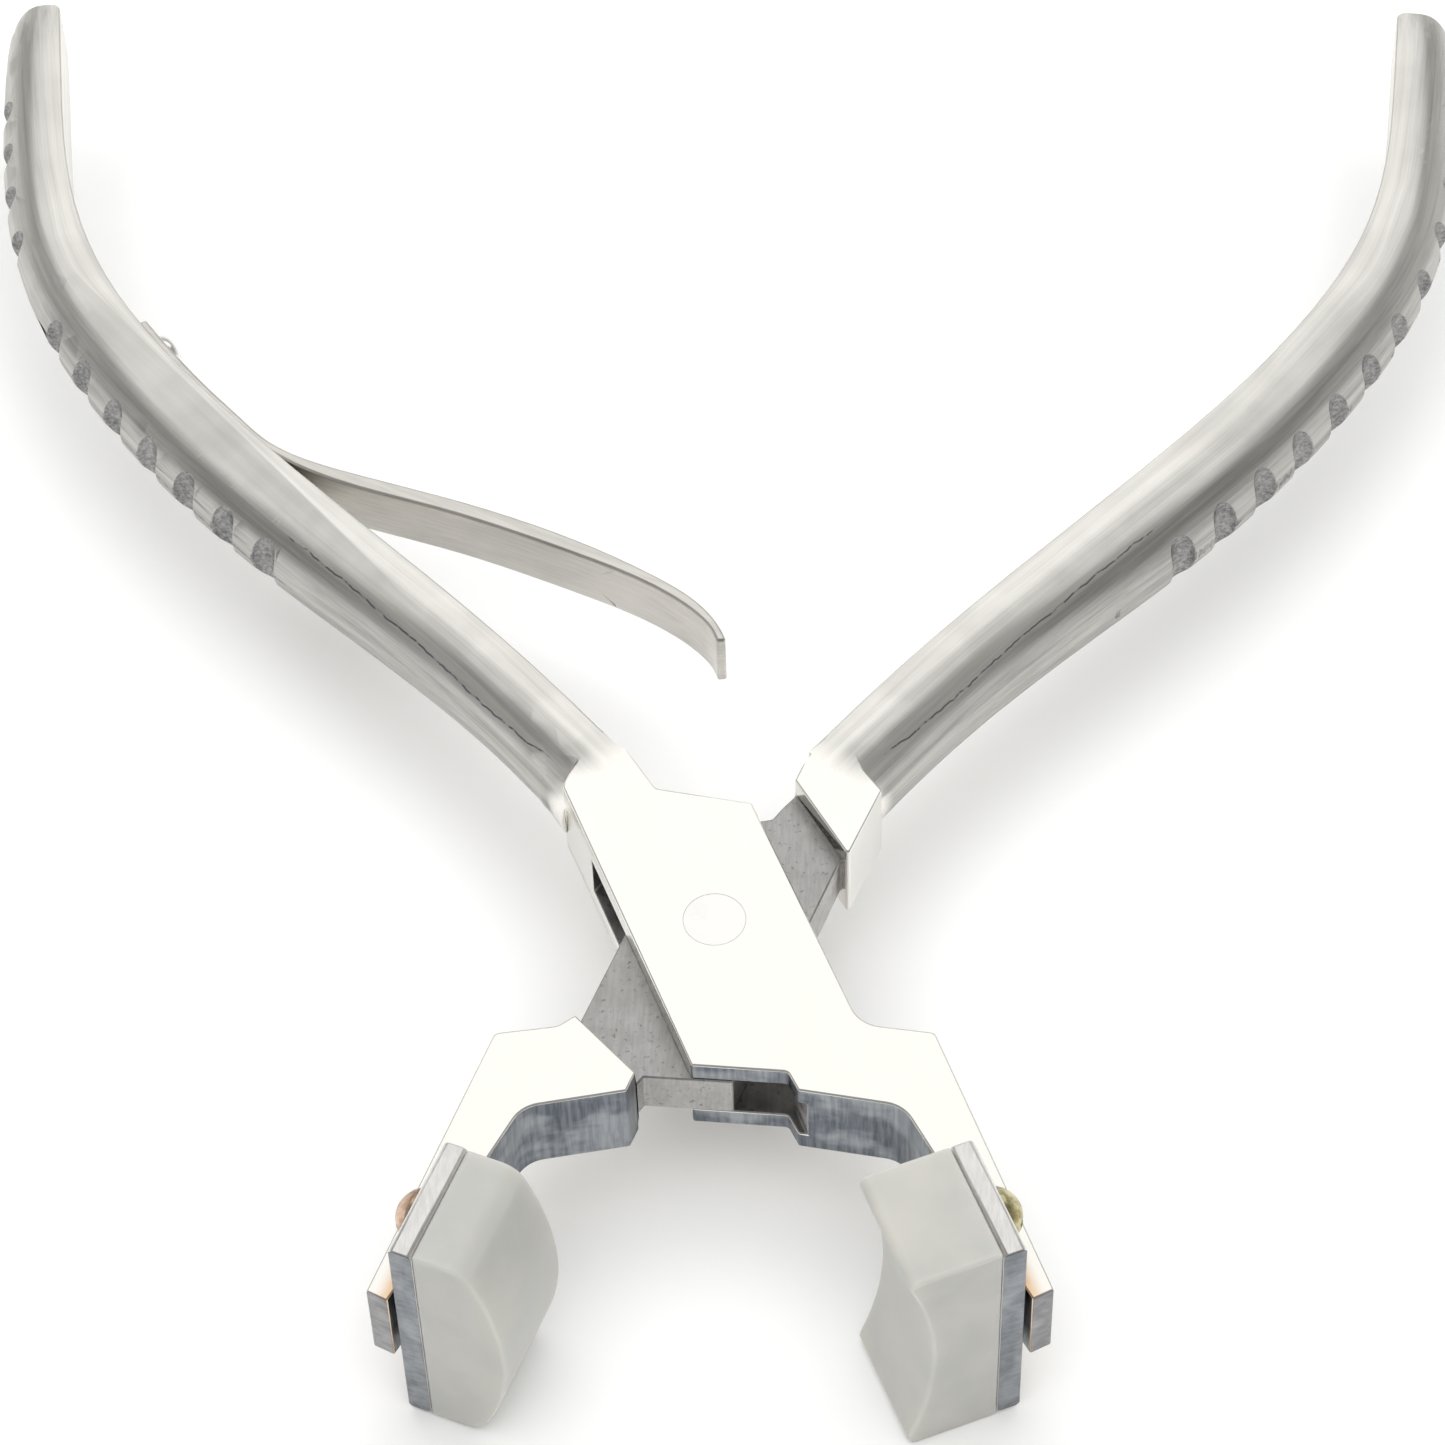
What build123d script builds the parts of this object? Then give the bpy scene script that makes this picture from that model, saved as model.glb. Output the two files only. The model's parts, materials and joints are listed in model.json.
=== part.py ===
from build123d import *
import math
import os

os.makedirs("parts", exist_ok=True)

# Box-joint pliers with nylon jaw blocks, standing open. +Z runs up the pivot, the jaws point to
# -Y and the handles to +Y. Each lever is drawn in its own half frame, with x out to that lever's
# jaw arm, y toward the handles and the pivot at the middle. The two half frames are mirror images,
# each turned by OPEN_HALF_ANGLE, and at zero the jaw plates are parallel.

# Pivot and rest pose
PIVOT_X = -0.0735
PIVOT_Y = -36.77
PIVOT_Z = 13.0
OPEN_HALF_ANGLE = 21.73

# Levers
BODY_HALF_THICKNESS = 4.46
HANDLE_PATH = [(-0.9, 20.2), (-2.4, 25.0), (-7.6, 39.8), (-13.2, 53.0), (-18.5, 65.3), (-23.0, 77.0),
               (-26.7, 90.9), (-27.65, 99.5), (-27.0, 107.5), (-24.0, 121.0)]
BOX_HANDLE_TIP = (-20.6, 133.4)
LAP_HANDLE_TIP = (-21.3, 130.6)
# One D section each: place along the path, depth, width of the flat band, half thickness
HANDLE_SECTIONS = [
    (0.0, 7.4, 3.2, 4.46),
    (0.06, 6.9, 3.0, 4.4),
    (0.17, 7.3, 3.7, 4.08),
    (0.3, 8.0, 3.9, 4.05),
    (0.42, 8.4, 4.0, 4.05),
    (0.54, 8.0, 3.9, 4.05),
    (0.66, 7.4, 3.5, 4.0),
    (0.76, 6.9, 3.1, 3.95),
    (0.88, 6.4, 2.8, 3.9),
    (0.96, 5.9, 2.6, 3.8),
    (1.0, 4.9, 2.2, 3.3),
]

LAP_HANDLE_EXTRA = 0.45
TIP_CORNER_IN = 1.1
TIP_CORNER_OUT = 2.2

# Box joint
BOX_HALF_WIDTH = 7.4
CHEEK_RIGHT = 7.7
SLOT_HALF_HEIGHT = 2.4
WEB_HALF_HEIGHT = 2.3
HANDLE_POCKET_R = 13.7
JAW_POCKET_R = 16.5
RIVET_R = 2.8
RIVET_RUNNING = 0.05

# Jaw arms
SEAT_X = 10.0
SEAT_TOP = -34.4
ARM_ROOT_R = 3.0
ARM_CORNER_R = 0.8

# Jaw plates and nylon blocks
PLATE_THICKNESS = 2.15
PLATE_HALF_HEIGHT = 12.7
PLATE_CHAMFER = 0.3
BLOCK_TOP = -34.5
JAW_END = -45.9
BLOCK_HALF_HEIGHT = 13.0
TROUGH_X = 1.8
HORN_X = -0.75
HORN_R = 0.9
CROWN_X = 0.17
CROWN_EDGE_X = 3.24
CROWN_CORNER_R = 2.4
CROWN_HALF_HEIGHT = 12.75

# Jaw screws
SCREW_Y = -39.8
SCREW_Z = 8.8
SHANK_R = 1.3
SHANK_CLEARANCE = 0.1
SHANK_DEPTH = 4.2
HEAD_R = 2.35
HEAD_RIM = 0.6
HEAD_HEIGHT = 2.1
DRIVE_SLOT_WIDTH = 0.7
DRIVE_SLOT_DEPTH = 0.8

# Grip grooves along each handle
GROOVE_COUNT = 12
GROOVE_FIRST = 0.36
GROOVE_LAST = 0.885
GROOVE_R = 1.5
GROOVE_DEPTH = 1.25

# Leaf spring and its rivet
SPRING_HALF_WIDTH = 3.0
SPRING_SEAT = [0.612, 0.585, 0.55, 0.51, 0.47, 0.445]
SPRING_GAP = 0.08
SPRING_BASE_THICKNESS = 0.85
SPRING_BACK = [(-14.4, 61.7), (-6.7, 54.9), (3.1, 45.1), (8.7, 38.5), (11.0, 34.5), (11.8, 32.0)]
SPRING_TIP = [(11.8, 30.2), (12.7, 30.0)]
SPRING_FRONT = [(12.7, 32.0), (11.9, 35.2), (9.4, 39.6), (4.2, 46.3), (-5.7, 56.2), (-13.6, 63.0)]
SPRING_RIVET_AT = 0.588
SPRING_RIVET_R = 1.25
SPRING_RIVET_DEPTH = 4.0
DOME_R = 2.1
DOME_HEIGHT = 1.3
DOME_ROUND = 1.0


def half_frame(side):
    """Frame of one lever: side +1 is the box half, side -1 the lap half."""
    turn = math.radians(OPEN_HALF_ANGLE)
    return Plane(
        origin=(PIVOT_X, PIVOT_Y, PIVOT_Z),
        x_dir=(side * math.cos(turn), math.sin(turn), 0),
        z_dir=(0, 0, side),
    )


def facing_out(frame, x, y, z=0):
    """Frame whose normal runs out along x of the half frame, for plates and screw holes."""
    return Plane(origin=frame.from_local_coords((x, y, z)), x_dir=frame.y_dir, z_dir=frame.x_dir)


def facing_tip(frame, y):
    """Frame whose normal runs down the jaws, with x of the half frame kept as x."""
    return Plane(origin=frame.from_local_coords((0, y, 0)), x_dir=frame.x_dir, z_dir=-frame.y_dir)


def handle_path(tip=BOX_HANDLE_TIP):
    """Inner edge of a handle in its half frame."""
    with BuildLine() as path:
        Spline(*HANDLE_PATH, tip)
    return path.edge()


def station(path, at):
    """Point on the handle's inner edge, the way along it and the way out to the hand side."""
    point = path @ at
    along = path % at
    return point, along, Vector(-along.Y, along.X)


def add_handle(frame, tip, extra=0.0):
    """Handle of one lever: a D section, flat inside and round outside, along the path."""
    path = handle_path(tip)
    sections = []
    for at, depth, band, half in HANDLE_SECTIONS:
        if at > 0:
            depth += extra
        point, along, out = station(path, at)
        across = Plane(
            origin=frame.from_local_coords(point),
            x_dir=frame.x_dir * out.X + frame.y_dir * out.Y,
            z_dir=frame.x_dir * along.X + frame.y_dir * along.Y,
        )
        with BuildSketch(across) as section:
            with BuildLine():
                Polyline((band, half), (0, half), (0, -half), (band, -half))
                ThreePointArc((band, -half), (depth, 0), (band, half))
            make_face()
        sections.append(section.sketch)
    loft(sections)


def round_tip(frame, tip, extra=0.0):
    """Rounds both corners of a handle's end, seen from above."""
    end, along, out = station(handle_path(tip), 1)
    depth = HANDLE_SECTIONS[-1][1] + extra
    for corner, into, r in ((end, out, TIP_CORNER_IN), (end + out * depth, -out, TIP_CORNER_OUT)):
        middle = corner + into * r - along * r
        with BuildSketch(frame) as waste:
            with BuildLine():
                Line(corner + into * r, corner + into * r + along - into * (r + 1))
                Line(corner + into * r + along - into * (r + 1), corner - along * r - into)
                Line(corner - along * r - into, corner - along * r)
                ThreePointArc(corner - along * r, middle + (along - into) * r * math.sqrt(0.5),
                              corner + into * r)
            make_face()
        extrude(waste.sketch, amount=BODY_HALF_THICKNESS, both=True, mode=Mode.SUBTRACT)


def groove_centres(extra=0.0):
    """Centres of the grip grooves, just outside the round of the handle."""
    path = handle_path()
    centres = []
    for i in range(GROOVE_COUNT):
        at = GROOVE_FIRST + (GROOVE_LAST - GROOVE_FIRST) * i / (GROOVE_COUNT - 1)
        point, along, out = station(path, at)
        centres.append(point + out * (groove_depth_at(at) + extra + GROOVE_R - GROOVE_DEPTH))
    return centres


def groove_depth_at(at):
    """Depth of the handle between two of its sections."""
    for (start, depth, _, _), (end, next_depth, _, _) in zip(HANDLE_SECTIONS, HANDLE_SECTIONS[1:]):
        if start <= at <= end:
            return depth + (next_depth - depth) * (at - start) / (end - start)
    return HANDLE_SECTIONS[-1][1]


def add_arm():
    """Inner and outer lines of a jaw arm, from the box down to the tip and back."""
    inner = FilletPolyline(
        (0.2, -19.4), (7.9, -24.2), (9.0, SEAT_TOP), radius=ARM_ROOT_R
    )
    tip = Polyline(
        (9.0, SEAT_TOP), (SEAT_X, SEAT_TOP), (SEAT_X, -41.0), (10.65, -46.0), (12.67, -45.8)
    )
    return inner, tip


def spring_rivet_plane(frame, rise):
    """Plane square to the spring rivet, rise above the handle's flat face."""
    point, along, out = station(handle_path(), SPRING_RIVET_AT)
    return Plane(
        origin=frame.from_local_coords(point - out * rise),
        x_dir=frame.z_dir,
        z_dir=frame.x_dir * -out.X - frame.y_dir * out.Y,
    )


def jaw_plate(frame):
    """Steel plate standing across the arm's seat, with two screw holes."""
    middle = (SEAT_TOP + JAW_END) / 2
    with BuildPart() as plate:
        with BuildSketch(facing_out(frame, SEAT_X, middle)):
            Rectangle(SEAT_TOP - JAW_END, 2 * PLATE_HALF_HEIGHT)
        extrude(amount=-PLATE_THICKNESS)
        chamfer(plate.edges().filter_by(Axis(frame.origin, frame.y_dir)), PLATE_CHAMFER)
        for z in (-SCREW_Z, SCREW_Z):
            with BuildSketch(facing_out(frame, SEAT_X, SCREW_Y, z)):
                Circle(SHANK_R + SHANK_CLEARANCE)
            extrude(amount=-PLATE_THICKNESS, mode=Mode.SUBTRACT)
    return plate


def screw_hole(frame, z):
    """Hole in a nylon block, which the screw cuts its own thread in."""
    with BuildSketch(facing_out(frame, SEAT_X - PLATE_THICKNESS, SCREW_Y, z)) as hole:
        Circle(SHANK_R)
    extrude(hole.sketch, amount=-SHANK_DEPTH, mode=Mode.SUBTRACT)


def jaw_screw(frame, z):
    """Slotted round-head screw, its head on the outside of the plate."""
    head = facing_out(frame, SEAT_X, SCREW_Y, z)
    turned = Plane(origin=head.origin, x_dir=frame.z_dir, z_dir=frame.y_dir)
    bottom = -PLATE_THICKNESS - SHANK_DEPTH
    with BuildPart() as screw:
        with BuildSketch(turned):
            with BuildLine():
                Polyline((0, HEAD_HEIGHT), (0, bottom), (SHANK_R, bottom), (SHANK_R, 0), (HEAD_R, 0),
                         (HEAD_R, HEAD_RIM))
                TangentArc((0, HEAD_HEIGHT), (HEAD_R, HEAD_RIM), tangent=(1, 0))
            make_face()
        revolve(axis=Axis(head.origin, frame.x_dir))
        with BuildSketch(facing_out(frame, SEAT_X + HEAD_HEIGHT, SCREW_Y, z)):
            Rectangle(3 * HEAD_R, DRIVE_SLOT_WIDTH)
        extrude(amount=-DRIVE_SLOT_DEPTH, mode=Mode.SUBTRACT)
    return screw


# Box-half lever: box with its slot, right jaw arm, left handle
box_frame = half_frame(1)
lap_frame = half_frame(-1)
with BuildPart() as box_half_lever:
    add_handle(box_frame, BOX_HANDLE_TIP)
    with BuildSketch(box_frame):
        with BuildLine():
            FilletPolyline((-BOX_HALF_WIDTH, -13.58), (0.05, -17.29), (0.2, -19.4), radius=0.6)
            add_arm()
            FilletPolyline(
                (12.67, -45.8), (13.4, -18.3), (CHEEK_RIGHT, -15.0), (CHEEK_RIGHT, 10.68),
                radius=(ARM_CORNER_R, ARM_ROOT_R),
            )
            FilletPolyline((CHEEK_RIGHT, 10.68), (0.33, 15.42), (-0.2, 18.2), radius=0.6)
            Polyline((-0.2, 18.2), (-0.75, 20.6), (-1.9, 22.6), (-4.1, 22.7))
            Spline((-4.1, 22.7), (-4.6, 21.6), (-6.2, 20.2), (-BOX_HALF_WIDTH, 18.6))
            Line((-BOX_HALF_WIDTH, 18.6), (-BOX_HALF_WIDTH, -13.58))
        make_face()
    extrude(amount=BODY_HALF_THICKNESS, both=True)
    with BuildSketch(box_frame) as slot:
        Circle(JAW_POCKET_R)
        with Locations((0, 20)):
            Rectangle(60, 40, mode=Mode.SUBTRACT)
        Circle(HANDLE_POCKET_R)
        with Locations((-0.3, 0)):
            Rectangle(12, 17.2, align=(Align.MIN, Align.MIN))
        with Locations((0.9, 0)):
            Rectangle(12, 20, align=(Align.MAX, Align.MAX))
    extrude(amount=SLOT_HALF_HEIGHT, both=True, mode=Mode.SUBTRACT)
    with BuildSketch(box_frame):
        Circle(RIVET_R)
    extrude(amount=BODY_HALF_THICKNESS, both=True, mode=Mode.SUBTRACT)
    with BuildSketch(box_frame):
        with Locations(*groove_centres()):
            Circle(GROOVE_R)
    extrude(amount=BODY_HALF_THICKNESS, both=True, mode=Mode.SUBTRACT)
    round_tip(box_frame, BOX_HANDLE_TIP)
    with BuildSketch(spring_rivet_plane(box_frame, -SPRING_RIVET_DEPTH)):
        Circle(SPRING_RIVET_R)
    extrude(amount=2 * SPRING_RIVET_DEPTH, mode=Mode.SUBTRACT)
box_half_lever.part.label = "box_half_lever"

# Lap-half lever: web that turns in the slot, left jaw arm, right handle
with BuildPart() as lap_half_lever:
    add_handle(lap_frame, LAP_HANDLE_TIP, LAP_HANDLE_EXTRA)
    with BuildSketch(lap_frame):
        with BuildLine():
            FilletPolyline(
                (-0.9, 16.8), (-8.4, 10.8), (-8.6, 18.6), (-6.2, 20.2), (-4.4, 21.8), (-4.1, 22.7),
                radius=(0.3, 0, 0, 0),
            )
            Polyline((-4.1, 22.7), (-2.0, 22.7), (-1.3, 20.6), (-0.9, 18.2), (-0.9, 16.8))
        make_face()
        with BuildLine():
            Polyline((7.4, -13.81), (0.2, -17.39), (0.2, -19.4))
            add_arm()
            FilletPolyline(
                (12.67, -45.8), (13.2, -18.1), (8.4, -15.4), (7.4, -13.81),
                radius=(ARM_CORNER_R, 1.4),
            )
        make_face()
    extrude(amount=BODY_HALF_THICKNESS, both=True)
    with BuildSketch(lap_frame):
        with BuildLine():
            Polyline(
                (BOX_HALF_WIDTH, 8.9), (0, 13.5), (-0.4, 15.0), (-1.2, 17.4), (-BOX_HALF_WIDTH, 12.6),
                (-BOX_HALF_WIDTH, -14.0), (0, -16.3), (0.5, -18.2), (7.2, -15.0),
                (BOX_HALF_WIDTH, -13.0), close=True,
            )
        make_face()
    extrude(amount=WEB_HALF_HEIGHT, both=True)
    with BuildSketch(lap_frame):
        Circle(RIVET_R + RIVET_RUNNING)
    extrude(amount=BODY_HALF_THICKNESS, both=True, mode=Mode.SUBTRACT)
    with BuildSketch(lap_frame):
        with Locations(*groove_centres(LAP_HANDLE_EXTRA)):
            Circle(GROOVE_R)
    extrude(amount=BODY_HALF_THICKNESS, both=True, mode=Mode.SUBTRACT)
    round_tip(lap_frame, LAP_HANDLE_TIP, LAP_HANDLE_EXTRA)
lap_half_lever.part.label = "lap_half_lever"

# Pivot rivet, fixed in both cheeks and ground flush with them
with BuildPart() as pivot_rivet:
    with BuildSketch(box_frame):
        Circle(RIVET_R)
    extrude(amount=BODY_HALF_THICKNESS, both=True)
pivot_rivet.part.label = "pivot_rivet"

# Leaf spring, lying on the box-half handle and bent across toward the other one
seat_back = []
seat_front = []
for at in SPRING_SEAT:
    point, along, out = station(handle_path(), at)
    seat_back.append(point - out * SPRING_GAP)
    seat_front.append(point - out * (SPRING_GAP + SPRING_BASE_THICKNESS))
with BuildPart() as leaf_spring:
    with BuildSketch(box_frame):
        with BuildLine():
            back = Spline(*seat_back, *SPRING_BACK, SPRING_TIP[0])
            front = Spline(SPRING_TIP[1], *SPRING_FRONT, *reversed(seat_front))
            Line(back @ 1, front @ 0)
            Line(front @ 1, back @ 0)
        make_face()
    extrude(amount=SPRING_HALF_WIDTH, both=True)
    with BuildSketch(spring_rivet_plane(box_frame, 0)):
        Circle(SPRING_RIVET_R + SHANK_CLEARANCE)
    extrude(amount=2 * SPRING_BASE_THICKNESS, mode=Mode.SUBTRACT)
leaf_spring.part.label = "leaf_spring"

# Spring rivet: domed head on the spring, shank driven into the handle
with BuildPart() as spring_rivet:
    with BuildSketch(spring_rivet_plane(box_frame, -SPRING_RIVET_DEPTH)):
        Circle(SPRING_RIVET_R)
    extrude(amount=SPRING_RIVET_DEPTH + SPRING_GAP + SPRING_BASE_THICKNESS)
    with BuildSketch(spring_rivet_plane(box_frame, SPRING_GAP + SPRING_BASE_THICKNESS)):
        Circle(DOME_R)
    extrude(amount=DOME_HEIGHT)
    fillet(spring_rivet.edges().sort_by(Axis(spring_rivet_plane(box_frame, 0).origin,
                                             spring_rivet_plane(box_frame, 0).z_dir))[-1], DOME_ROUND)
spring_rivet.part.label = "spring_rivet"

# Jaw plates
right_jaw_plate = jaw_plate(box_frame)
right_jaw_plate.part.label = "right_jaw_plate"
left_jaw_plate = jaw_plate(lap_frame)
left_jaw_plate.part.label = "left_jaw_plate"

# Hollow nylon block on the right jaw
with BuildPart() as hollow_jaw_block:
    with BuildSketch(facing_tip(box_frame, BLOCK_TOP)) as profile:
        with BuildLine():
            back = SEAT_X - PLATE_THICKNESS
            Polyline((HORN_X, BLOCK_HALF_HEIGHT), (back, BLOCK_HALF_HEIGHT), (back, -BLOCK_HALF_HEIGHT),
                     (HORN_X, -BLOCK_HALF_HEIGHT))
            ThreePointArc((HORN_X, -BLOCK_HALF_HEIGHT), (TROUGH_X, 0), (HORN_X, BLOCK_HALF_HEIGHT))
        make_face()
        fillet(profile.vertices().group_by(Axis.X)[0], HORN_R)
    extrude(amount=BLOCK_TOP - JAW_END)
    screw_hole(box_frame, SCREW_Z)
    screw_hole(box_frame, -SCREW_Z)
hollow_jaw_block.part.label = "hollow_jaw_block"

# Crowned nylon block on the left jaw
with BuildPart() as crowned_jaw_block:
    with BuildSketch(facing_tip(lap_frame, BLOCK_TOP)) as profile:
        with BuildLine():
            back = SEAT_X - PLATE_THICKNESS
            Polyline((CROWN_EDGE_X, CROWN_HALF_HEIGHT), (back, CROWN_HALF_HEIGHT),
                     (back, -CROWN_HALF_HEIGHT), (CROWN_EDGE_X, -CROWN_HALF_HEIGHT))
            ThreePointArc((CROWN_EDGE_X, -CROWN_HALF_HEIGHT), (CROWN_X, 0),
                          (CROWN_EDGE_X, CROWN_HALF_HEIGHT))
        make_face()
        fillet(profile.vertices().group_by(Axis.X)[0], CROWN_CORNER_R)
    extrude(amount=BLOCK_TOP - JAW_END)
    screw_hole(lap_frame, SCREW_Z)
    screw_hole(lap_frame, -SCREW_Z)
crowned_jaw_block.part.label = "crowned_jaw_block"

# Screws, two in each jaw. The lap half frame is turned over, so its upper screw is at -SCREW_Z.
right_upper_screw = jaw_screw(box_frame, SCREW_Z)
right_upper_screw.part.label = "right_upper_screw"
right_lower_screw = jaw_screw(box_frame, -SCREW_Z)
right_lower_screw.part.label = "right_lower_screw"
left_upper_screw = jaw_screw(lap_frame, -SCREW_Z)
left_upper_screw.part.label = "left_upper_screw"
left_lower_screw = jaw_screw(lap_frame, SCREW_Z)
left_lower_screw.part.label = "left_lower_screw"

for piece in (
    box_half_lever, lap_half_lever, pivot_rivet, leaf_spring, spring_rivet, right_jaw_plate,
    left_jaw_plate, hollow_jaw_block, crowned_jaw_block, right_upper_screw, right_lower_screw,
    left_upper_screw, left_lower_screw,
):
    export_step(piece.part, f"parts/{piece.part.label}.step")
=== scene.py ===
import json
import math

import bmesh
import bpy
from mathutils import Matrix, Vector
from mathutils.geometry import interpolate_bezier


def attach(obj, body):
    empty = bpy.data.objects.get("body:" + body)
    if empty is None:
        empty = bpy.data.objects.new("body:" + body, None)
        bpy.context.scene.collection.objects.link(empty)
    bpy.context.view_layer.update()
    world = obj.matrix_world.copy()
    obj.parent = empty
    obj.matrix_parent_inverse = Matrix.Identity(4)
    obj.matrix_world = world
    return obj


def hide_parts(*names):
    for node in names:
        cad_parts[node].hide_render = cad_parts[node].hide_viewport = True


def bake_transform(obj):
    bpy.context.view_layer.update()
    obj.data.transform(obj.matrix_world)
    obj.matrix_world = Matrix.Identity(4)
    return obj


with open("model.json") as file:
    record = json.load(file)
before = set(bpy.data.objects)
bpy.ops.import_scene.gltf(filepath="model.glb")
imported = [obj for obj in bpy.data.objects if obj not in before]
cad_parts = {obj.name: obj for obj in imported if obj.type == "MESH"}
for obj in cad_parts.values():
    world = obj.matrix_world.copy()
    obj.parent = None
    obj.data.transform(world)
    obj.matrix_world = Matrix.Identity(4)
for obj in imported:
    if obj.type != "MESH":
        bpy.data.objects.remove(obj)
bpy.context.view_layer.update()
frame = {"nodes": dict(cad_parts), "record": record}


# ---------------------------------------------------------------------------
# Camera: stands in front of the jaws and looks down on the open pliers with a
# long lens, turned a little to one side and rolled a little.
# ---------------------------------------------------------------------------
MM = 0.001
LOOK_DOWN = math.radians(52.46)
LOOK_ASIDE = math.radians(2.17)
CAMERA_ROLL = math.radians(-2.01)
CAMERA_AWAY = 443.5 * MM
CAMERA_RISE = 20.04 * MM
CAMERA_SHIFT = 0.61 * MM
CAMERA_LENS = 124.57
CAMERA_SENSOR = 36.0
CAMERA_NEAR, CAMERA_FAR = 0.02, 20.0

pivot = Vector(frame["record"]["behaviour"]["joints"][0]["pos_m"])
camera_back = Vector((math.sin(LOOK_ASIDE) * math.cos(LOOK_DOWN),
                      -math.cos(LOOK_ASIDE) * math.cos(LOOK_DOWN), math.sin(LOOK_DOWN)))
level = Vector((math.cos(LOOK_ASIDE), math.sin(LOOK_ASIDE), 0))
upright = camera_back.cross(level)
camera_right = level * math.cos(CAMERA_ROLL) + upright * math.sin(CAMERA_ROLL)
camera_up = upright * math.cos(CAMERA_ROLL) - level * math.sin(CAMERA_ROLL)
camera_data = bpy.data.cameras.new("camera")
camera_data.lens = CAMERA_LENS
camera_data.sensor_width = CAMERA_SENSOR
camera_data.clip_start = CAMERA_NEAR
camera_data.clip_end = CAMERA_FAR
camera = bpy.data.objects.new("camera", camera_data)
camera.matrix_world = Matrix.Translation(
    pivot + camera_back * CAMERA_AWAY + camera_up * CAMERA_RISE + camera_right * CAMERA_SHIFT
) @ Matrix((camera_right, camera_up, camera_back)).transposed().to_4x4()
bpy.context.collection.objects.link(camera)
bpy.context.scene.camera = camera
bpy.context.scene.view_settings.view_transform = "Standard"


# ---------------------------------------------------------------------------
# Bench top: a plain pale sheet under the pliers, with a faint grain. The nylon
# blocks stand on it.
# ---------------------------------------------------------------------------
FLOOR_SIZE = 3.0
FLOOR_GAP = 0.05 * MM
FLOOR_COLOUR = (0.92, 0.92, 0.915)
FLOOR_ROUGHNESS = 0.7


def finish_of(name, colour, roughness, metal=1.0):
    """New material, with what is the same all over it set on its shader."""
    made = bpy.data.materials.new(name)
    made.use_nodes = True
    shader = made.node_tree.nodes["Principled BSDF"]
    shader.inputs["Base Color"].default_value = (*colour, 1)
    shader.inputs["Roughness"].default_value = roughness
    shader.inputs["Metallic"].default_value = metal
    return made, shader


def step(finish, kind, inputs, **settings):
    """One node of a finish, with its inputs set or fed."""
    made = finish.node_tree.nodes.new(kind)
    for setting, value in settings.items():
        setattr(made, setting, value)
    for socket, value in inputs.items():
        if isinstance(value, bpy.types.NodeSocket):
            finish.node_tree.links.new(value, made.inputs[socket])
        else:
            made.inputs[socket].default_value = value
    return made


def feed(finish, source, shader, socket):
    """Feeds one socket of the shader."""
    finish.node_tree.links.new(source, shader.inputs[socket])


def own_space(finish):
    """The piece's own space, which a pattern is laid in."""
    return step(finish, "ShaderNodeTexCoord", {}).outputs["Object"]


def speckle(finish, where, stretch, detail=2.0, roughness=0.55):
    """Noise on a pattern space, as features a metre in each direction."""
    placed = step(finish, "ShaderNodeMapping", {"Vector": where, "Scale": stretch})
    noise = step(finish, "ShaderNodeTexNoise",
                 {"Vector": placed.outputs[0], "Scale": 1.0, "Detail": detail,
                  "Roughness": roughness})
    return noise.outputs[0]


def relief(finish, height, shader, depth, strength, under=None):
    """Bump of a height field, depth metres from low to high, over any bump laid before."""
    inputs = {"Height": height, "Distance": depth, "Strength": strength}
    if under:
        inputs["Normal"] = under
    made = step(finish, "ShaderNodeBump", inputs)
    feed(finish, made.outputs[0], shader, "Normal")
    return made.outputs[0]


floor_finish, floor_shader = finish_of("bench_top", FLOOR_COLOUR, FLOOR_ROUGHNESS, metal=0.0)
floor_grain = speckle(floor_finish, own_space(floor_finish), (900, 900, 900))
relief(floor_finish, floor_grain, floor_shader, depth=0.02 * MM, strength=0.2)
floor_shape = bmesh.new()
bmesh.ops.create_grid(floor_shape, x_segments=2, y_segments=2, size=FLOOR_SIZE / 2,
                      matrix=Matrix.Translation((0, 0, -FLOOR_GAP)))
floor_mesh = bpy.data.meshes.new("bench_top")
floor_shape.to_mesh(floor_mesh)
floor_shape.free()
floor_mesh.materials.append(floor_finish)
floor = bpy.data.objects.new("bench_top", floor_mesh)
bpy.context.collection.objects.link(floor)


# ---------------------------------------------------------------------------
# Studio light: a wide softbox beyond the handles that the flat tops mirror, a
# strip on each side, a soft overhead light for the bench, and a dome that is
# dim in front of the jaws and overhead.
# ---------------------------------------------------------------------------
DOME_DIM = (0.20, 0.205, 0.22)
DOME_BRIGHT = (0.72, 0.715, 0.70)
DOME_OVERHEAD = (0.35, 0.35, 0.343)


def between(finish, value, low, high, low_to=0.0, high_to=1.0):
    """Eases a value from low_to to high_to as it goes from low to high."""
    made = step(finish, "ShaderNodeMapRange",
                {"Value": value, "From Min": low, "From Max": high,
                 "To Min": low_to, "To Max": high_to}, interpolation_type="SMOOTHSTEP")
    return made.outputs[0]


def tinted(finish, amount, first, second):
    """Colour that goes from first to second by amount. Either may be a colour already mixed."""
    first, second = [colour if isinstance(colour, bpy.types.NodeSocket) else (*colour, 1)
                     for colour in (first, second)]
    made = step(finish, "ShaderNodeMix", {0: amount, 6: first, 7: second}, data_type="RGBA")
    return made.outputs[2]


def softbox(name, way, away, width, height, radiance, shown_in_metal=True):
    """Rectangular soft light that faces the pivot from one direction."""
    data = bpy.data.lights.new(name, "AREA")
    data.shape = "RECTANGLE"
    data.size, data.size_y = width, height
    data.energy = radiance * math.pi * width * height
    light = bpy.data.objects.new(name, data)
    way = Vector(way).normalized()
    turn = way.to_track_quat("Z", "Y").to_matrix().to_4x4()
    light.matrix_world = Matrix.Translation(pivot + way * away) @ turn
    light.visible_glossy = shown_in_metal
    light.visible_camera = False
    bpy.context.collection.objects.link(light)


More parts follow.
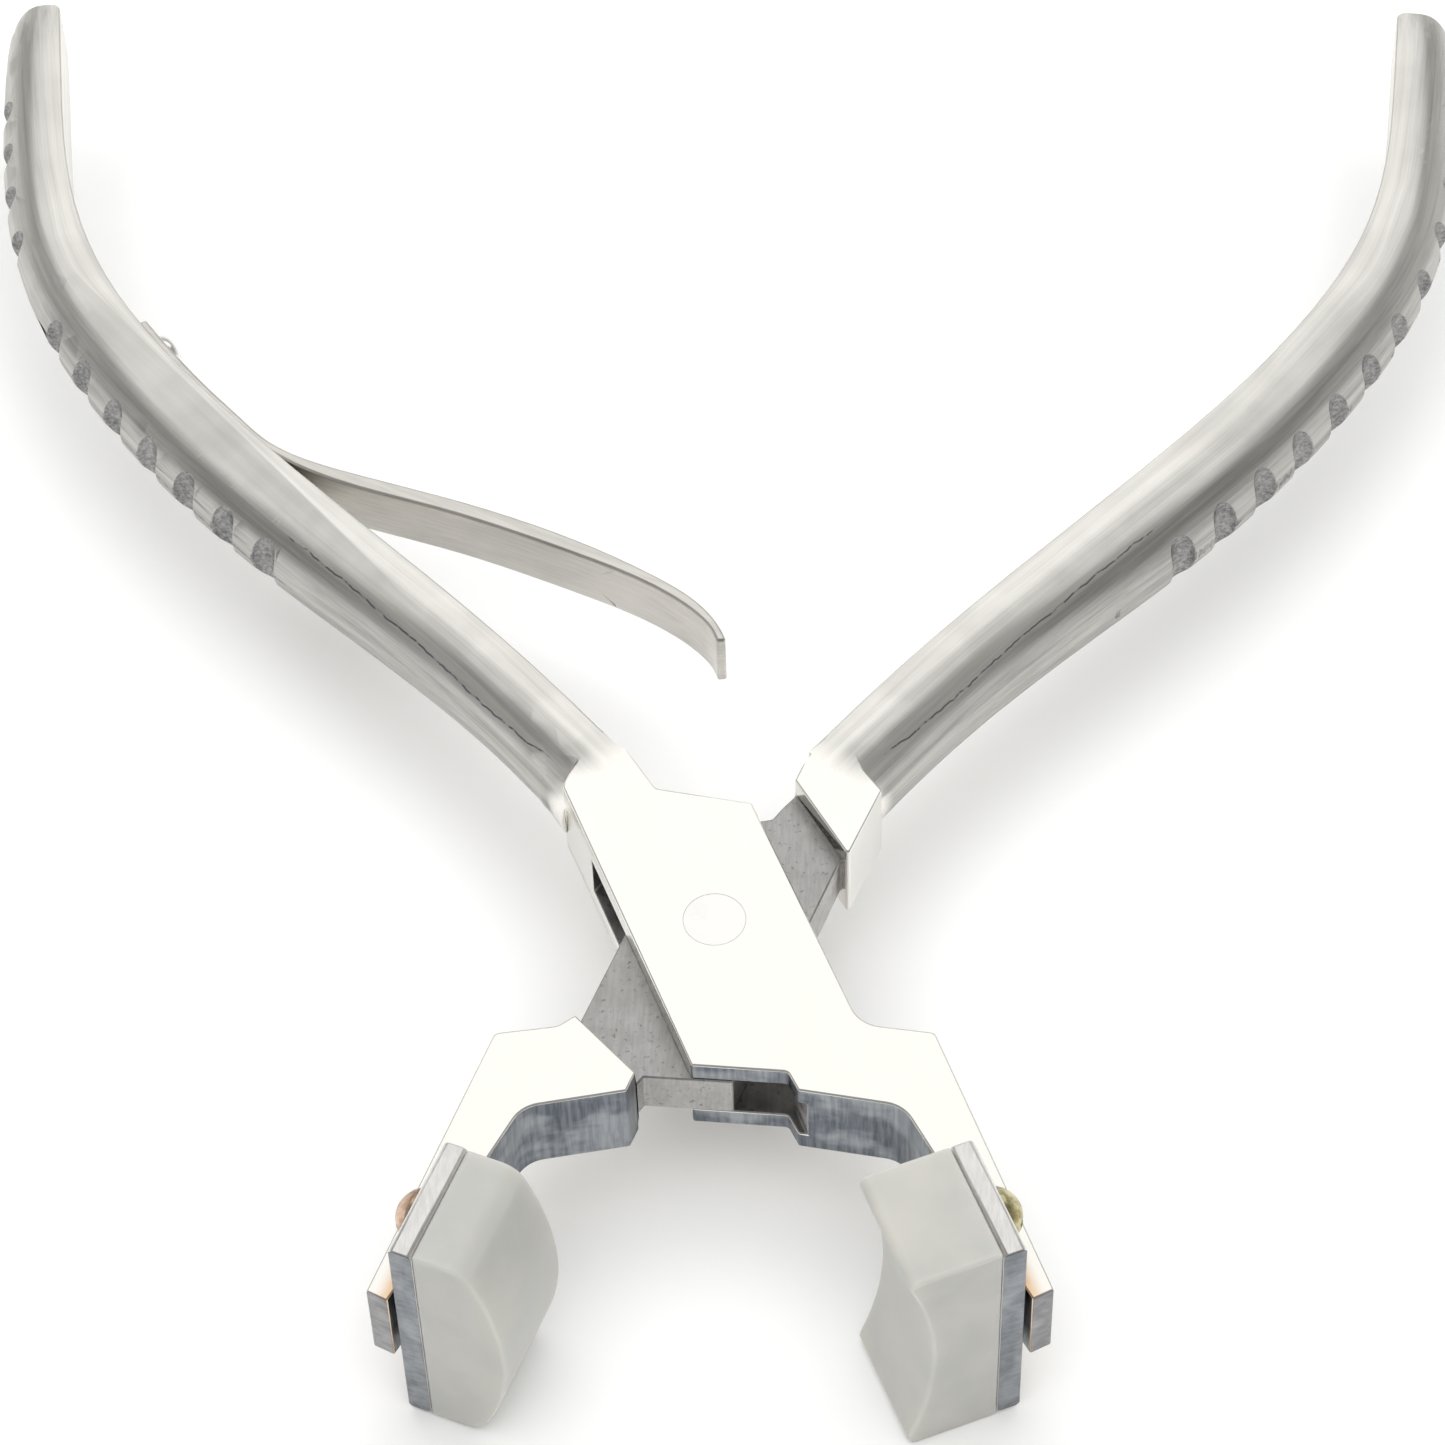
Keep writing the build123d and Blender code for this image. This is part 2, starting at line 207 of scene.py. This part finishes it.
softbox("far_softbox", way=(0, 0.61, 0.79), away=1.1, width=1.3, height=0.62, radiance=0.95)
for name, aside in (("left_strip", -1), ("right_strip", 1)):
    softbox(name, way=(aside, -0.15, 0.12), away=1.0, width=0.9, height=0.22, radiance=0.8)
softbox("overhead", way=(0, -0.1, 1), away=1.4, width=2.6, height=2.6, radiance=1.55,
        shown_in_metal=False)

dome = bpy.data.worlds.new("dome")
dome.use_nodes = True
bpy.context.scene.world = dome
dome_way = step(dome, "ShaderNodeTexCoord", {}).outputs["Generated"]
dome_axes = step(dome, "ShaderNodeSeparateXYZ", {0: dome_way})
dome_front = between(dome, dome_axes.outputs["Y"], -0.9, 0.5)
dome_high = between(dome, dome_axes.outputs["Z"], 0.1, 0.6)
dome_low_colour = tinted(dome, dome_front, DOME_DIM, DOME_BRIGHT)
feed(dome, tinted(dome, dome_high, dome_low_colour, DOME_OVERHEAD),
     dome.node_tree.nodes["Background"], "Color")


# ---------------------------------------------------------------------------
# The two levers: drop forgings of stainless steel, ground and polished on the
# box and the jaw arms and belted to a satin along the handles. The grip scallops,
# the web and the slot keep a dull skin, and the arm tips show the heat of brazing.
# ---------------------------------------------------------------------------
OPEN_HALF_ANGLE = math.radians(21.73)
LEVER_EDGE = 0.16
RIVET_HOLE = 3.0
# The inner edge of the handle, in the lever's own frame in mm
HANDLE_LINE = [(-0.9, 20.2), (-2.4, 25.0), (-7.6, 39.8), (-13.2, 53.0), (-18.5, 65.3),
               (-23.0, 77.0), (-26.7, 90.9), (-27.65, 99.5), (-27.0, 107.5), (-24.0, 121.0),
               (-20.6, 133.4)]
HANDLE_INNER, HANDLE_ROOT = HANDLE_LINE[0]
# How deep the handle is at places along it, and the radius of its outer round, in mm
HANDLE_DEPTH = [(0, 7.4), (7, 6.9), (20, 7.3), (35, 8.0), (49, 8.4), (63, 8.0), (77, 7.4),
                (89, 6.9), (103, 6.4), (112, 5.9), (117, 4.9)]
ROUND_R = 4.06
# Points of a CAD mesh this near are one point, faces this flat to each other are one face, and
# edges this shallow shade smooth
SAME_POINT = 0.002 * MM
SAME_FACE = math.radians(0.25)
SHADED_SMOOTH = math.radians(28)


def lever_place(point, side):
    """A point in one lever's own frame: out to its jaw arm, toward the handles, and up, in mm."""
    x = (point.x - pivot.x) * side / MM
    y = (point.y - pivot.y) / MM
    return (x * math.cos(OPEN_HALF_ANGLE) + y * math.sin(OPEN_HALF_ANGLE),
            y * math.cos(OPEN_HALF_ANGLE) - x * math.sin(OPEN_HALF_ANGLE),
            (point.z - pivot.z) / MM)


def lever_point(out, toward_handles, side):
    """The world point, at the pivot's height, of a place in one lever's own frame, in mm."""
    x = out * math.cos(OPEN_HALF_ANGLE) - toward_handles * math.sin(OPEN_HALF_ANGLE)
    y = out * math.sin(OPEN_HALF_ANGLE) + toward_handles * math.cos(OPEN_HALF_ANGLE)
    return pivot + Vector((side * x, y, 0)) * MM


def smooth_line(points, runs=24):
    """A smooth line through a few points."""
    points = [Vector((*p, 0)) for p in points]
    slopes = [(b - a) / 2 for a, b in zip([points[0], *points[:-1]], [*points[1:], points[-1]])]
    line = []
    for i in range(len(points) - 1):
        line += interpolate_bezier(points[i], points[i] + slopes[i] / 3,
                                   points[i + 1] - slopes[i + 1] / 3, points[i + 1], runs)[:-1]
    return [p.to_2d() for p in line + [points[-1]]]


handle_line = smooth_line(HANDLE_LINE)


def along_handle(out, toward_handles):
    """How far along the handle a place is, how far from its inner edge, and which way is out."""
    if toward_handles < HANDLE_ROOT - 1:
        return toward_handles - HANDLE_ROOT, HANDLE_INNER - out, Vector((-1, 0))
    here = Vector((out, toward_handles))
    best = None
    done = 0.0
    for a, b in zip(handle_line, handle_line[1:]):
        run = b - a
        length = run.length
        t = max(0.0, min(1.0, (here - a).dot(run) / run.length_squared))
        gap = (here - a - run * t).length
        if best is None or gap < best[0]:
            side = 1 if run.x * (here - a).y - run.y * (here - a).x > 0 else -1
            best = (gap, done + length * t, side * gap, Vector((-run.y, run.x)) / length)
        done += length
    return best[1:]


def softened(node, edge, segments=2, sharper_than=32, leave=None):
    """A copy of a CAD piece with its triangles joined and its sharp edges broken, but for some."""
    shape = bmesh.new()
    shape.from_mesh(frame["nodes"][node].data)
    bmesh.ops.remove_doubles(shape, verts=shape.verts, dist=SAME_POINT)
    bmesh.ops.dissolve_limit(shape, angle_limit=SAME_FACE, verts=shape.verts, edges=shape.edges)
    sharp = [e for e in shape.edges if e.calc_face_angle(0) > math.radians(sharper_than)
             and not (leave and leave((e.verts[0].co + e.verts[1].co) / 2))]
    broken = bmesh.ops.bevel(shape, geom=sharp, offset=edge * MM, offset_type="OFFSET",
                             affect="EDGES", segments=segments, profile=0.5, material=-1,
                             clamp_overlap=False)
    rounds = set(broken["faces"])
    for face in shape.faces:
        face.smooth = True
    for e in shape.edges:
        rounded = len(set(e.link_faces) & rounds)
        e.smooth = rounded == 2 or (not rounded and e.calc_face_angle(0) < SHADED_SMOOTH)
    return shape


def piece_from(shape, name, body, node, finishes):
    """Makes a finished shape the visible piece of one CAD node, riding on a body if given one."""
    mesh = bpy.data.meshes.new(name)
    shape.to_mesh(mesh)
    shape.free()
    for finish in finishes:
        mesh.materials.append(finish)
    made = bpy.data.objects.new(name, mesh)
    bpy.context.collection.objects.link(made)
    if body:
        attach(made, body)
    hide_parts(node)
    return made


def reckoned(finish, how, *values):
    """Values of a finish added, multiplied and so on."""
    return step(finish, "ShaderNodeMath", dict(enumerate(values)), operation=how).outputs[0]


def spread(finish, pattern, low_to, high_to):
    """Stretches the middle of a noise, where nearly all of it lies, to run between two values."""
    return between(finish, pattern, 0.3, 0.7, low_to, high_to)


def colour_by(finish, shader, tone, dark, pale):
    """Feeds the shader's colour from a tone."""
    feed(finish, tinted(finish, tone, dark, pale), shader, "Base Color")


def roughness_by(finish, shader, pattern, low, high):
    """Feeds the shader's roughness from a noise."""
    feed(finish, spread(finish, pattern, low, high), shader, "Roughness")


# Polished box and arms, satin handles. The grain runs along, across and up the handle in metres.
STEEL_DARK, STEEL_PALE = (0.10, 0.098, 0.095), (0.87, 0.85, 0.805)
SATIN_TONE = 0.77
SATIN_FROM = (-1.0 * MM, 3.0 * MM)
# Painted highlight on the handle's band near its inner edge and painted shade over its outer
# round: from and to, in metres across from the inner edge, and the tone added at each
INNER_PAINTED_HIGHLIGHT = (2.0 * MM, 3.1 * MM, 0.15, -0.09)
OUTER_PAINTED_SHADE = (5.2 * MM, 7.0 * MM, 0.0, -0.24)
lever_steel, lever_shader = finish_of("forged_steel_polished", (0.80, 0.79, 0.765), 0.25)
grain = step(lever_steel, "ShaderNodeAttribute", {}, attribute_name="grain").outputs["Vector"]
grain_axes = step(lever_steel, "ShaderNodeSeparateXYZ", {0: grain})
along, across = grain_axes.outputs["X"], grain_axes.outputs["Y"]
on_handle = between(lever_steel, along, *SATIN_FROM)
off_handle = reckoned(lever_steel, "SUBTRACT", 1.0, on_handle)
belt_lines = speckle(lever_steel, grain, (70, 5200, 5200), 3.0, 0.65)
belt_bands = speckle(lever_steel, grain, (25, 900, 900))
cross_lines = speckle(lever_steel, grain, (2600, 240, 240))
hand_marks = speckle(lever_steel, grain, (160, 160, 160), 3.0)
box_lines = speckle(lever_steel, grain, (520, 5600, 700), 2.0, 0.6)
belted = reckoned(lever_steel, "ADD", spread(lever_steel, belt_bands, -0.10, 0.10),
                  spread(lever_steel, belt_lines, -0.07, 0.07))
handle_satin_and_painted_light = reckoned(lever_steel, "MULTIPLY",
                      reckoned(lever_steel, "ADD", belted, SATIN_TONE), on_handle)
# Painted light on the handle: a painted highlight along the inner band and painted shade over the
# outer round, set by the distance across from the inner edge
painted_handle_light = reckoned(lever_steel, "ADD", between(lever_steel, across, *OUTER_PAINTED_SHADE),
                      between(lever_steel, across, *INNER_PAINTED_HIGHLIGHT))
handle_satin_and_painted_light = reckoned(lever_steel, "ADD", handle_satin_and_painted_light,
                      reckoned(lever_steel, "MULTIPLY", painted_handle_light, on_handle))
polished_tone = reckoned(lever_steel, "MULTIPLY", spread(lever_steel, hand_marks, 0.93, 1.0),
                         off_handle)
steel_tone = reckoned(lever_steel, "ADD", handle_satin_and_painted_light, polished_tone)
steel_colour = tinted(lever_steel, steel_tone, STEEL_DARK, STEEL_PALE)

# The forging's parting mark, a fine broken dark line along the flank of the handle
MARK_COLOUR = (0.06, 0.08, 0.11)
MARK_WANDER = 0.16 * MM
MARK_CLIMBS = (2 * MM, 14 * MM, 5.1 * MM, 5.75 * MM)
MARK_BLACKNESS = (0.02 * MM, 0.11 * MM, 0.8, 0.0)
MARK_STARTS, MARK_ENDS = (4 * MM, 6 * MM), (40 * MM, 43 * MM)
wander = between(lever_steel, speckle(lever_steel, grain, (420, 120, 120)), 0.2, 0.8,
                 -MARK_WANDER, MARK_WANDER)
mark_place = reckoned(lever_steel, "ADD", between(lever_steel, along, *MARK_CLIMBS), wander)
mark_gap = reckoned(lever_steel, "ABSOLUTE",
                    reckoned(lever_steel, "SUBTRACT", across, mark_place))
mark = between(lever_steel, mark_gap, *MARK_BLACKNESS)
for part_of_mark in (between(lever_steel, along, *MARK_STARTS),
                     between(lever_steel, along, *MARK_ENDS, 1, 0),
                     between(lever_steel, speckle(lever_steel, grain, (900, 700, 700)),
                             0.36, 0.5, 0.25, 1)):
    mark = reckoned(lever_steel, "MULTIPLY", mark, part_of_mark)
steel_colour = tinted(lever_steel, mark, steel_colour, MARK_COLOUR)

# Amber heat colour at the braze, on the tips of the arms
HEAT_COLOUR = (0.66, 0.36, 0.11)
HEAT_ALONG = (-66 * MM, -58.5 * MM, 1, 0)
HEAT_ACROSS = (-13.1 * MM, -11.4 * MM, 0, 1)
heat = reckoned(lever_steel, "MULTIPLY", between(lever_steel, along, *HEAT_ALONG),
                between(lever_steel, across, *HEAT_ACROSS))
heat = reckoned(lever_steel, "MULTIPLY", heat,
                between(lever_steel, hand_marks, 0.35, 0.6, 0.55, 0.95))
colour_by(lever_steel, lever_shader, heat, steel_colour, HEAT_COLOUR)

# Belting leaves the handles rougher than the box, and scored along their length
belt_rough = reckoned(lever_steel, "MULTIPLY",
                      between(lever_steel, belt_lines, 0.25, 0.75, 0.12, 0.20), on_handle)
feed(lever_steel, reckoned(lever_steel, "ADD", belt_rough,
                           spread(lever_steel, hand_marks, 0.19, 0.27)),
     lever_shader, "Roughness")
lines = reckoned(lever_steel, "ADD", reckoned(lever_steel, "MULTIPLY", belt_lines, on_handle),
                 reckoned(lever_steel, "MULTIPLY", box_lines, off_handle))
scored = relief(lever_steel, lines, lever_shader, depth=0.006 * MM, strength=0.5)
relief(lever_steel, cross_lines, lever_shader, depth=0.003 * MM, strength=0.35, under=scored)

# Dull skin of the grip scallops
grip_steel, grip_shader = finish_of("forged_steel_scallop", (0.36, 0.36, 0.36), 0.45)
grip_where = own_space(grip_steel)
grip_spots = speckle(grip_steel, grip_where, (2600, 2600, 2600), 3.0, 0.7)
grip_clouds = speckle(grip_steel, grip_where, (500, 500, 500))
grip_tone = reckoned(grip_steel, "ADD", spread(grip_steel, grip_spots, 0.14, 0.42),
                     spread(grip_steel, grip_clouds, -0.1, 0.12))
colour_by(grip_steel, grip_shader, grip_tone, (0.08, 0.08, 0.085), (0.80, 0.79, 0.77))
roughness_by(grip_steel, grip_shader, grip_clouds, 0.36, 0.55)
relief(grip_steel, grip_spots, grip_shader, depth=0.03 * MM, strength=0.6)

# Rough forged skin of the web and of the slot, with dark specks
web_steel, web_shader = finish_of("forged_steel_scale", (0.30, 0.30, 0.30), 0.5)
web_where = own_space(web_steel)
web_pits = step(web_steel, "ShaderNodeTexVoronoi", {"Vector": web_where, "Scale": 1500.0},
                feature="SMOOTH_F1").outputs["Distance"]
web_clouds = speckle(web_steel, web_where, (300, 300, 300), 4.0, 0.6)
web_specks = speckle(web_steel, web_where, (1900, 1900, 1900), 3.0, 0.7)
web_scores = speckle(web_steel, web_where, (3600, 420, 800))
web_tone = reckoned(web_steel, "ADD", between(web_steel, web_clouds, 0.32, 0.68, 0.50, 0.68),
                    spread(web_steel, web_scores, -0.04, 0.05))
web_tone = reckoned(web_steel, "ADD", web_tone,
                    between(web_steel, web_specks, 0.30, 0.42, -0.30, 0.0))
colour_by(web_steel, web_shader, web_tone, (0.05, 0.05, 0.055), (0.78, 0.76, 0.74))
roughness_by(web_steel, web_shader, web_clouds, 0.34, 0.55)
pitted = relief(web_steel, web_pits, web_shader, depth=0.05 * MM, strength=0.45)
relief(web_steel, web_clouds, web_shader, depth=0.06 * MM, strength=0.5, under=pitted)

# Painted dark blue-grey reflection and shade on the inner faces of the jaw arms, with pale scuffs
arm_steel, arm_shader = finish_of("forged_steel_arm_painted_reflection", (0.25, 0.28, 0.32), 0.4)
arm_where = own_space(arm_steel)
arm_clouds = speckle(arm_steel, arm_where, (190, 190, 300), 3.0, 0.5)
arm_scores = speckle(arm_steel, arm_where, (2600, 2600, 240))
arm_tone = reckoned(arm_steel, "ADD", between(arm_steel, arm_clouds, 0.40, 0.62, 0.14, 0.46),
                    spread(arm_steel, arm_scores, -0.05, 0.12))
colour_by(arm_steel, arm_shader, arm_tone, (0.05, 0.065, 0.09), (0.66, 0.69, 0.72))
roughness_by(arm_steel, arm_shader, arm_clouds, 0.28, 0.46)
relief(arm_steel, arm_scores, arm_shader, depth=0.02 * MM, strength=0.4)

# Sawn and filed grey steel on the end of each arm
sawn_steel, sawn_shader = finish_of("forged_steel_sawn", (0.42, 0.42, 0.42), 0.42)
sawn_where = own_space(sawn_steel)
sawn_lines = speckle(sawn_steel, sawn_where, (600, 600, 3000), 3.0, 0.65)
sawn_clouds = speckle(sawn_steel, sawn_where, (330, 330, 330), 3.0)
sawn_tone = reckoned(sawn_steel, "ADD", spread(sawn_steel, sawn_lines, 0.27, 0.38),
                     spread(sawn_steel, sawn_clouds, -0.08, 0.12))
colour_by(sawn_steel, sawn_shader, sawn_tone, (0.06, 0.06, 0.065), (0.76, 0.76, 0.76))
relief(sawn_steel, sawn_lines, sawn_shader, depth=0.015 * MM, strength=0.5)

# The skins, and where each lies in the lever's own frame, in mm. A lean is how much of a
# face's direction is up: 0 on an upright wall.
POLISHED, SCALLOP, WEB, ARM_INNER, SAWN = range(5)
GRIP_FROM, GRIP_TO, GRIP_REACH, GRIP_DEPTH = 24.0, 125.0, 30.0, 4.0
SLOT_FROM, SLOT_TO, SLOT_SKIN = -20.0, 17.5, 2.45
SHOULDER_FROM, SHOULDER_TO, SHOULDER_UP = 5.0, 18.0, 3.0
ARM_END, ARM_ROOT = -45.0, -12.0
WALL_LEAN, GRIP_LEAN = 0.3, 0.04
LIP_AREA = 0.35
# The thin edges where the handle's inner face runs into the box, which stay unbroken
THIN_FROM, THIN_TO, THIN_OUT = 17.8, 24.0, -3.0
# From where the handle's round is true, and how near to it a facet must already face
ROUND_FROM = 6.0
TRUE_ENOUGH = math.cos(math.radians(16))


def skin_of(face, side):
    """Which skin a lever's face has, told by its place and by the way that it faces."""
    out, toward, up = lever_place(face.calc_center_median(), side)
    faces_out, faces_handles, lean = lever_place(pivot + face.normal * MM, side)
    wall = abs(lean) < WALL_LEAN
    if GRIP_FROM < toward < GRIP_TO and abs(lean) < GRIP_LEAN:
        reach, depth, outward = along_handle(out, toward)
        return SCALLOP if depth > GRIP_DEPTH and reach > GRIP_REACH else POLISHED
    highest = max(abs(lever_place(v.co, side)[2]) for v in face.verts)
    if SLOT_FROM < toward < SLOT_TO and highest < SLOT_SKIN:
        return WEB
    on_shoulder = SHOULDER_FROM < toward < SHOULDER_TO and abs(up) > SHOULDER_UP
    if side < 0 and wall and on_shoulder and faces_out < 0:
        return WEB
    # The inward- and front-facing walls of the jaw arms take the painted dark reflection
    if wall and ARM_END < toward < ARM_ROOT and (faces_out < -0.15 or faces_handles < -0.5):
        return ARM_INNER
    if toward < ARM_END and faces_handles < -0.5:
        return SAWN
    return POLISHED


def true_round(reach, depth, outward, up, side):
    """Which way the handle's surface faces at a place on its flat top or its round."""
    whole = HANDLE_DEPTH[-1][1]
    for (start, a), (end, b) in zip(HANDLE_DEPTH, HANDLE_DEPTH[1:]):
        if start <= reach <= end:
            whole = a + (b - a) * (reach - start) / (end - start)
    past = max(0.0, depth - (whole - ROUND_R))
    flat = lever_point(outward.x, outward.y, side) - pivot
    return (flat.normalized() * past + Vector((0, 0, up))).normalized()


def lever(node, body, side):
    """One forged lever, with its rough faces told apart and its grain laid along the handle."""
    def kept_sharp(place):
        out, toward, up = lever_place(place, side)
        return (math.hypot(out, toward) < RIVET_HOLE
                or (THIN_FROM < toward < THIN_TO and out > THIN_OUT))

    shape = softened(node, LEVER_EDGE, leave=kept_sharp)
    for face in shape.faces:
        face.material_index = skin_of(face, side)
    # The small facets round a scallop belong to it
    lips = [f for f in shape.faces
            if f.material_index == POLISHED and f.calc_area() < LIP_AREA * MM * MM
            and any(n.material_index == SCALLOP for e in f.edges for n in e.link_faces)]
    for face in lips:
        face.material_index = SCALLOP
    grain_layer = shape.verts.layers.float_vector.new("grain")
    rounds = {}
    shape.verts.index_update()
    for v in shape.verts:
        out, toward, up = lever_place(v.co, side)
        reach, depth, outward = along_handle(out, toward)
        v[grain_layer] = Vector((reach, depth, up)) * MM
        if reach > ROUND_FROM:
            rounds[v.index] = true_round(reach, depth, outward, up, side)
    made = piece_from(shape, node + "_forging", body, node,
                      [lever_steel, grip_steel, web_steel, arm_steel, sawn_steel])
    # The round of the handle keeps its true lean, whatever way its facets run
    leans = []
    for face in made.data.polygons:
        for corner in face.vertices:
            lean = rounds.get(corner)
            true = (face.material_index == POLISHED and lean
                    and lean.dot(face.normal) > TRUE_ENOUGH)
            leans.append(lean if true else Vector((0, 0, 0)))
    made.data.normals_split_custom_set(leans)


lever("box_half_lever", "box_half", 1)
lever("lap_half_lever", "lap_half", -1)


# ---------------------------------------------------------------------------
# Pivot rivet: a plain steel pin, headed into both cheeks and ground flush, so
# only a fine ring shows where it ends.
# ---------------------------------------------------------------------------
RIVET_EDGE = 0.045
rivet_steel, rivet_shader = finish_of("rivet_steel", (0.84, 0.825, 0.80), 0.24)
rivet_where = own_space(rivet_steel)
rivet_lines = speckle(rivet_steel, rivet_where, (4600, 700, 700))
rivet_clouds = speckle(rivet_steel, rivet_where, (240, 240, 240), 3.0)
colour_by(rivet_steel, rivet_shader, spread(rivet_steel, rivet_clouds, 0.90, 1.0),
          (0.2, 0.2, 0.2), (0.86, 0.845, 0.82))
roughness_by(rivet_steel, rivet_shader, rivet_clouds, 0.19, 0.30)
relief(rivet_steel, rivet_lines, rivet_shader, depth=0.004 * MM, strength=0.4)
piece_from(softened("pivot_rivet", RIVET_EDGE), "pivot_rivet_pin", "box_half", "pivot_rivet",
           [rivet_steel])


# ---------------------------------------------------------------------------
# Jaw plates: bright rolled steel strip, sheared to length and brazed across the
# arms. The sheared ends are darker and scored.
# ---------------------------------------------------------------------------
PLATE_EDGE = 0.14
SHEARED_END = 1
SHEARED_FACES_JAWS = -0.8
plate_steel, plate_shader = finish_of("plate_steel", (0.62, 0.63, 0.64), 0.34)
plate_where = own_space(plate_steel)
plate_lines = speckle(plate_steel, plate_where, (3400, 600, 420), 3.0, 0.6)
plate_clouds = speckle(plate_steel, plate_where, (260, 260, 260), 3.0)
plate_tone = reckoned(plate_steel, "ADD", spread(plate_steel, plate_lines, 0.82, 0.98),
                      spread(plate_steel, plate_clouds, -0.08, 0.1))
colour_by(plate_steel, plate_shader, plate_tone, (0.10, 0.10, 0.10), (0.82, 0.805, 0.785))
roughness_by(plate_steel, plate_shader, plate_clouds, 0.26, 0.40)
relief(plate_steel, plate_lines, plate_shader, depth=0.008 * MM, strength=0.5)

plate_end, plate_end_shader = finish_of("plate_steel_sheared", (0.36, 0.38, 0.41), 0.4)
end_where = own_space(plate_end)
end_lines = speckle(plate_end, end_where, (700, 700, 2400), 3.0, 0.65)
end_clouds = speckle(plate_end, end_where, (420, 420, 300), 3.0)
end_tone = reckoned(plate_end, "ADD", spread(plate_end, end_lines, 0.23, 0.32),
                    spread(plate_end, end_clouds, -0.08, 0.14))
colour_by(plate_end, plate_end_shader, end_tone, (0.06, 0.07, 0.085), (0.70, 0.72, 0.75))
relief(plate_end, end_lines, plate_end_shader, depth=0.02 * MM, strength=0.5)

for node, body, side in (("right_jaw_plate", "box_half", 1), ("left_jaw_plate", "lap_half", -1)):
    shape = softened(node, PLATE_EDGE)
    for face in shape.faces:
        if lever_place(pivot + face.normal * MM, side)[1] < SHEARED_FACES_JAWS:
            face.material_index = SHEARED_END
    piece_from(shape, node + "_strip", body, node, [plate_steel, plate_end])


# ---------------------------------------------------------------------------
# Nylon blocks: milky nylon bar, sawn and milled to a hollow and a crown, with
# softened corners. Light goes a little way in, and the cutter leaves fine marks.
# ---------------------------------------------------------------------------
BLOCK_EDGE = 0.28
nylon, nylon_shader = finish_of("nylon", (0.80, 0.81, 0.79), 0.36, metal=0.0)
nylon_shader.inputs["Subsurface Weight"].default_value = 0.75
nylon_shader.inputs["Subsurface Radius"].default_value = (1.0, 1.0, 0.9)
nylon_shader.inputs["Subsurface Scale"].default_value = 2.2 * MM
nylon_shader.inputs["IOR"].default_value = 1.53
nylon_where = own_space(nylon)
nylon_clouds = speckle(nylon, nylon_where, (130, 130, 130), 3.0)
nylon_lines = speckle(nylon, nylon_where, (500, 500, 2600))
colour_by(nylon, nylon_shader, spread(nylon, nylon_clouds, 0.0, 1.0),
          (0.47, 0.47, 0.445), (0.535, 0.525, 0.485))
roughness_by(nylon, nylon_shader, nylon_clouds, 0.30, 0.42)
milled = relief(nylon, nylon_lines, nylon_shader, depth=0.01 * MM, strength=0.3)
relief(nylon, nylon_clouds, nylon_shader, depth=0.15 * MM, strength=0.25, under=milled)
for node, body in (("hollow_jaw_block", "box_half"), ("crowned_jaw_block", "lap_half")):
    piece_from(softened(node, BLOCK_EDGE, segments=4, sharper_than=40), node + "_nylon", body,
               node, [nylon])


# ---------------------------------------------------------------------------
# Jaw screws: turned brass round-head screws with a sawn slot, through the plate
# into the nylon. The left pair has gone coppery, the right pair olive.
# ---------------------------------------------------------------------------
SCREW_EDGE = 0.07


def brass(name, pale, dark):
    """Dull brass, tarnished in clouds, with the lathe's fine rings."""
    finish, shader = finish_of(name, pale, 0.34)
    where = own_space(finish)
    clouds = speckle(finish, where, (700, 700, 700), 4.0, 0.65)
    rings = speckle(finish, where, (5200, 900, 900))
    colour_by(finish, shader, between(finish, clouds, 0.35, 0.65), dark, pale)
    roughness_by(finish, shader, clouds, 0.42, 0.26)
    relief(finish, rings, shader, depth=0.01 * MM, strength=0.4)
    return finish


coppery = brass("screw_brass_coppery", (0.66, 0.48, 0.36), (0.30, 0.19, 0.13))
olive = brass("screw_brass_olive", (0.62, 0.56, 0.34), (0.26, 0.23, 0.10))
for node, body, finish in (("left_upper_screw", "lap_half", coppery),
                           ("left_lower_screw", "lap_half", coppery),
                           ("right_upper_screw", "box_half", olive),
                           ("right_lower_screw", "box_half", olive)):
    piece_from(softened(node, SCREW_EDGE, sharper_than=40), node + "_brass", body, node,
               [finish])


# ---------------------------------------------------------------------------
# Leaf spring: a strip of spring steel riveted on the box-half handle. It bends
# as the handles close, with its tip on the other handle. The domed rivet holds it.
# ---------------------------------------------------------------------------
SPRING_EDGE = 0.25
SPRING_RIVET_EDGE = 0.1
SPRING_LIES = math.radians(27)
spring_steel, spring_shader = finish_of("spring_steel", (0.62, 0.62, 0.61), 0.33)
spring_where = step(spring_steel, "ShaderNodeMapping",
                    {"Vector": own_space(spring_steel), "Rotation": (0, 0, SPRING_LIES)})
spring_lines = speckle(spring_steel, spring_where.outputs[0], (160, 1500, 5200), 3.0, 0.6)
spring_clouds = speckle(spring_steel, spring_where.outputs[0], (70, 140, 140), 3.0)
spring_tone = reckoned(spring_steel, "ADD", spread(spring_steel, spring_lines, 0.68, 0.82),
                       spread(spring_steel, spring_clouds, -0.10, 0.10))
colour_by(spring_steel, spring_shader, spring_tone, (0.10, 0.10, 0.10), (0.82, 0.79, 0.745))
roughness_by(spring_steel, spring_shader, spring_clouds, 0.28, 0.40)
relief(spring_steel, spring_lines, spring_shader, depth=0.006 * MM, strength=0.5)

spring_shape = softened("leaf_spring", SPRING_EDGE, segments=3)
bmesh.ops.triangulate(spring_shape, faces=[f for f in spring_shape.faces if len(f.verts) > 4])
spring = piece_from(spring_shape, "leaf_spring_strip", None, "leaf_spring",
                    [spring_steel])
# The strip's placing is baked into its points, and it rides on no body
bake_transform(spring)
piece_from(softened("spring_rivet", SPRING_RIVET_EDGE, sharper_than=50), "spring_rivet_dome",
           "box_half", "spring_rivet", [rivet_steel])
